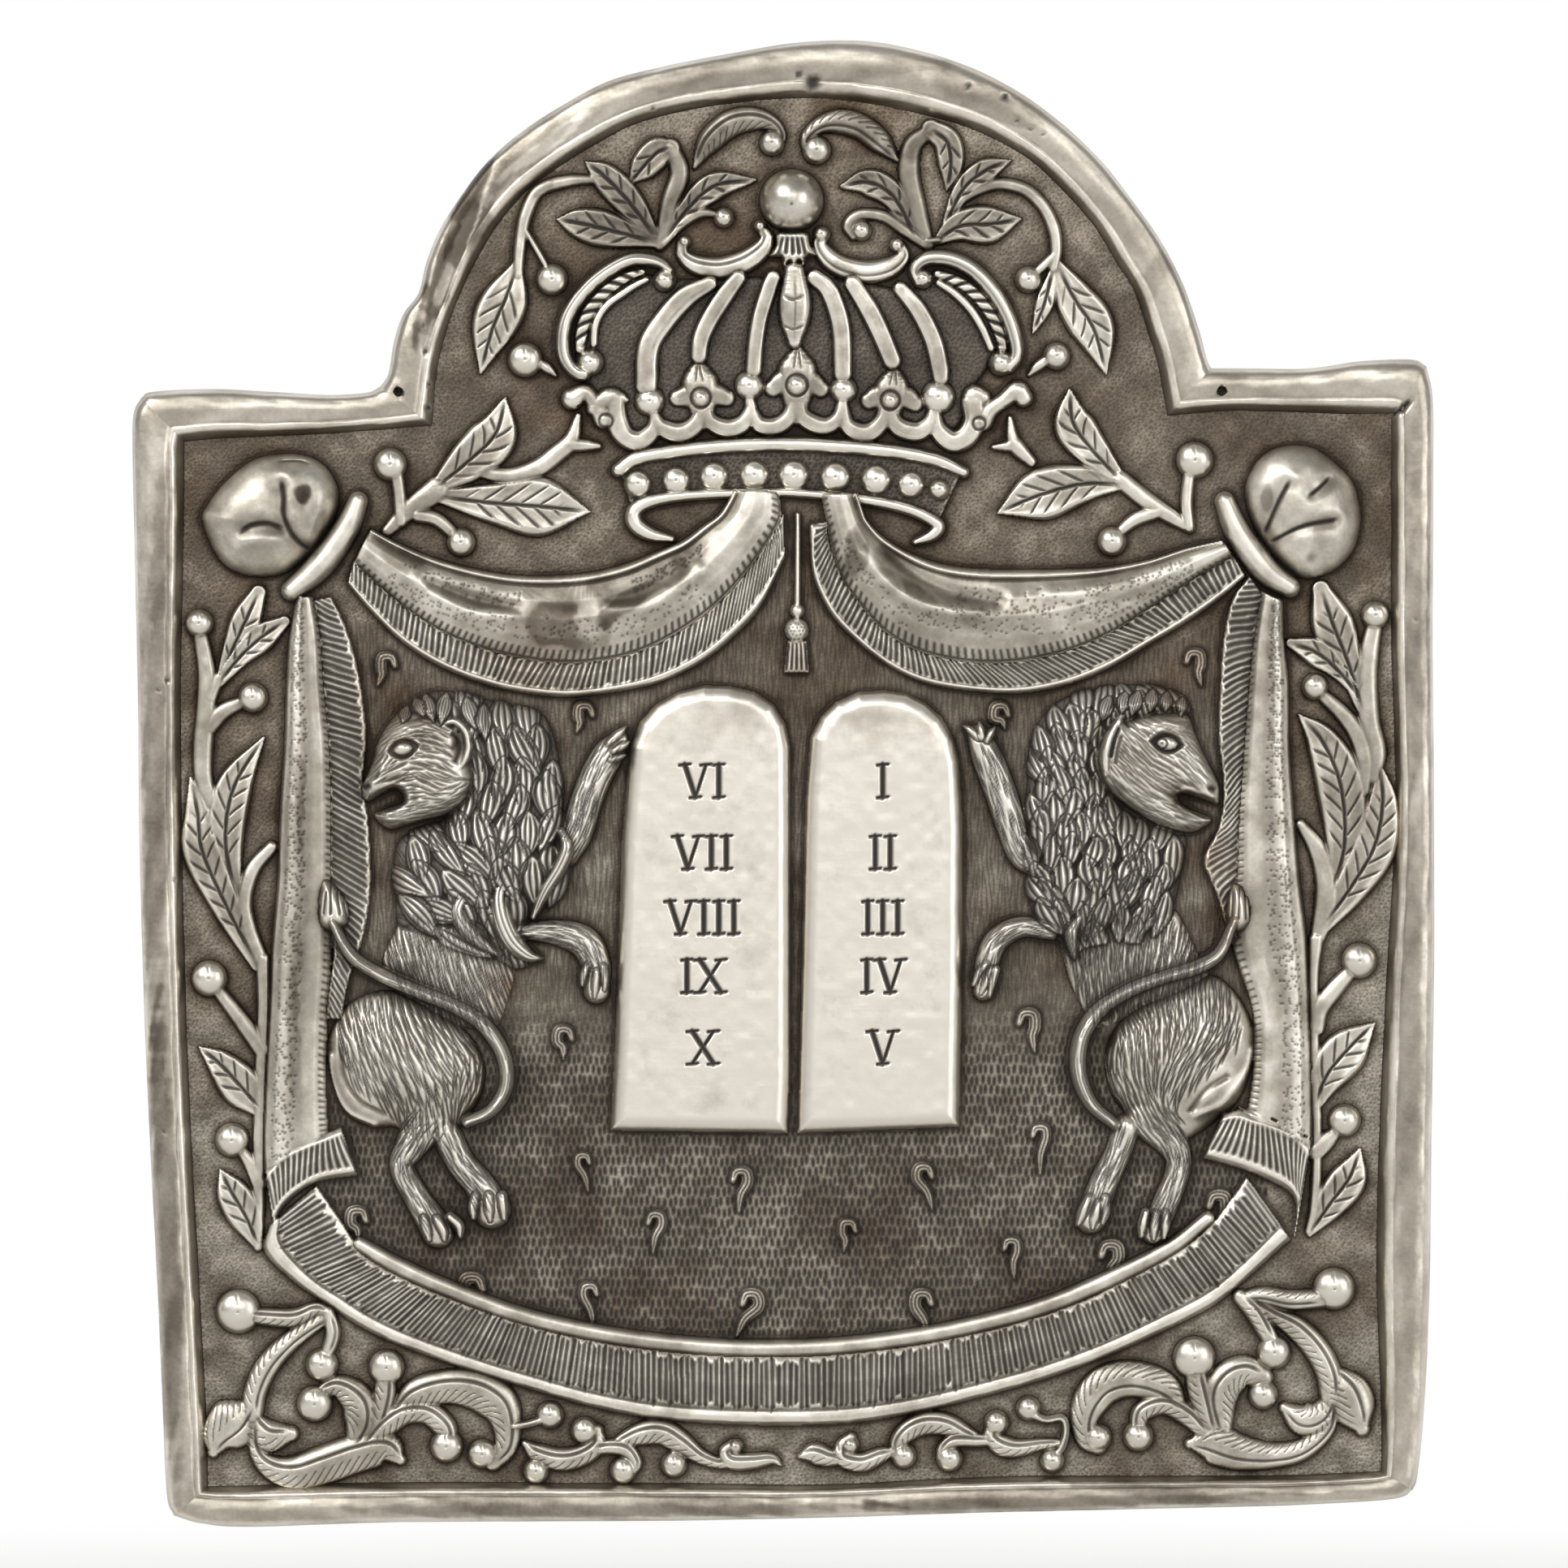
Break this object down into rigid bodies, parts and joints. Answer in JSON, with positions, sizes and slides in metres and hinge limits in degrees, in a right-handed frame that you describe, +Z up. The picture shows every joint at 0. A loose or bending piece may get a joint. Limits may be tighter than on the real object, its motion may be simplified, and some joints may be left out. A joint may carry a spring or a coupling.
{
  "type": "torah shield breastplate",
  "caption": "Arched ceremonial breastplate of raised silver: crown, drawn curtains, rampant lions and two tablets inside a mitred moulding, hung from its shoulder holes.",
  "frame": {"origin": "midway between the two suspension holes, on the plane of the rear hem", "axes": "+Z up along the plate's height, +X to the right seen from the front, -Y out of the front"},
  "size_m": [0.2107, 0.0098, 0.2405],
  "materials": {
    "frame": "worn hand-polished silver with dark wear in the mitres",
    "ground": "oxidised silver, matted with a small round punch",
    "drapery": "chased silver, dark in the hollows",
    "tablets": "smooth pale silver",
    "lions": "chased silver, polished on the high places",
    "crown": "chased silver, dark in the hollows",
    "foliage": "polished silver against the dark ground"
  },
  "bodies": {
    "root": {"base_scroll_left": "foliage", "base_scroll_right": "foliage", "corner_scroll_left": "foliage", "corner_scroll_right": "foliage", "crown_arch_left": "crown", "crown_arch_right": "crown", "crown_baluster": "crown", "crown_band": "crown", "crown_calyx": "crown", "crown_cap": "crown", "crown_cresting": "crown", "crown_hoop_1": "crown", "crown_hoop_2": "crown", "crown_hoop_3": "crown", "crown_hoop_4": "crown", "crown_hoop_5": "crown", "crown_hoop_6": "crown", "crown_orb": "crown", "crown_scroll_left": "crown", "crown_scroll_right": "crown", "curtain_fringe_left": "drapery", "curtain_fringe_right": "drapery", "curtain_left": "drapery", "curtain_right": "drapery", "frame_arch": "frame", "frame_rail_bottom": "frame", "frame_shoulder_left": "frame", "frame_shoulder_right": "frame", "frame_stile_left": "frame", "frame_stile_right": "frame", "ground_sheet": "ground", "knot_left": "drapery", "knot_right": "drapery", "lion_left": "lions", "lion_right": "lions", "mantle_fringe": "drapery", "mantle_piping": "drapery", "shoulder_spray_left": "foliage", "shoulder_spray_right": "foliage", "shoulder_twig_right": "foliage", "side_garland_left": "foliage", "side_garland_right": "foliage", "spray_berry_left": "foliage", "spray_berry_right": "foliage", "swag_fringe_left": "drapery", "swag_fringe_right": "drapery", "swag_left": "drapery", "swag_right": "drapery", "tablet_left": "tablets", "tablet_right": "tablets", "tassel": "drapery", "tie_ring_left": "drapery", "tie_ring_right": "drapery", "top_scroll_left": "foliage", "top_scroll_right": "foliage", "top_spray_left": "foliage", "top_spray_right": "foliage"}
  },
  "joints": []
}
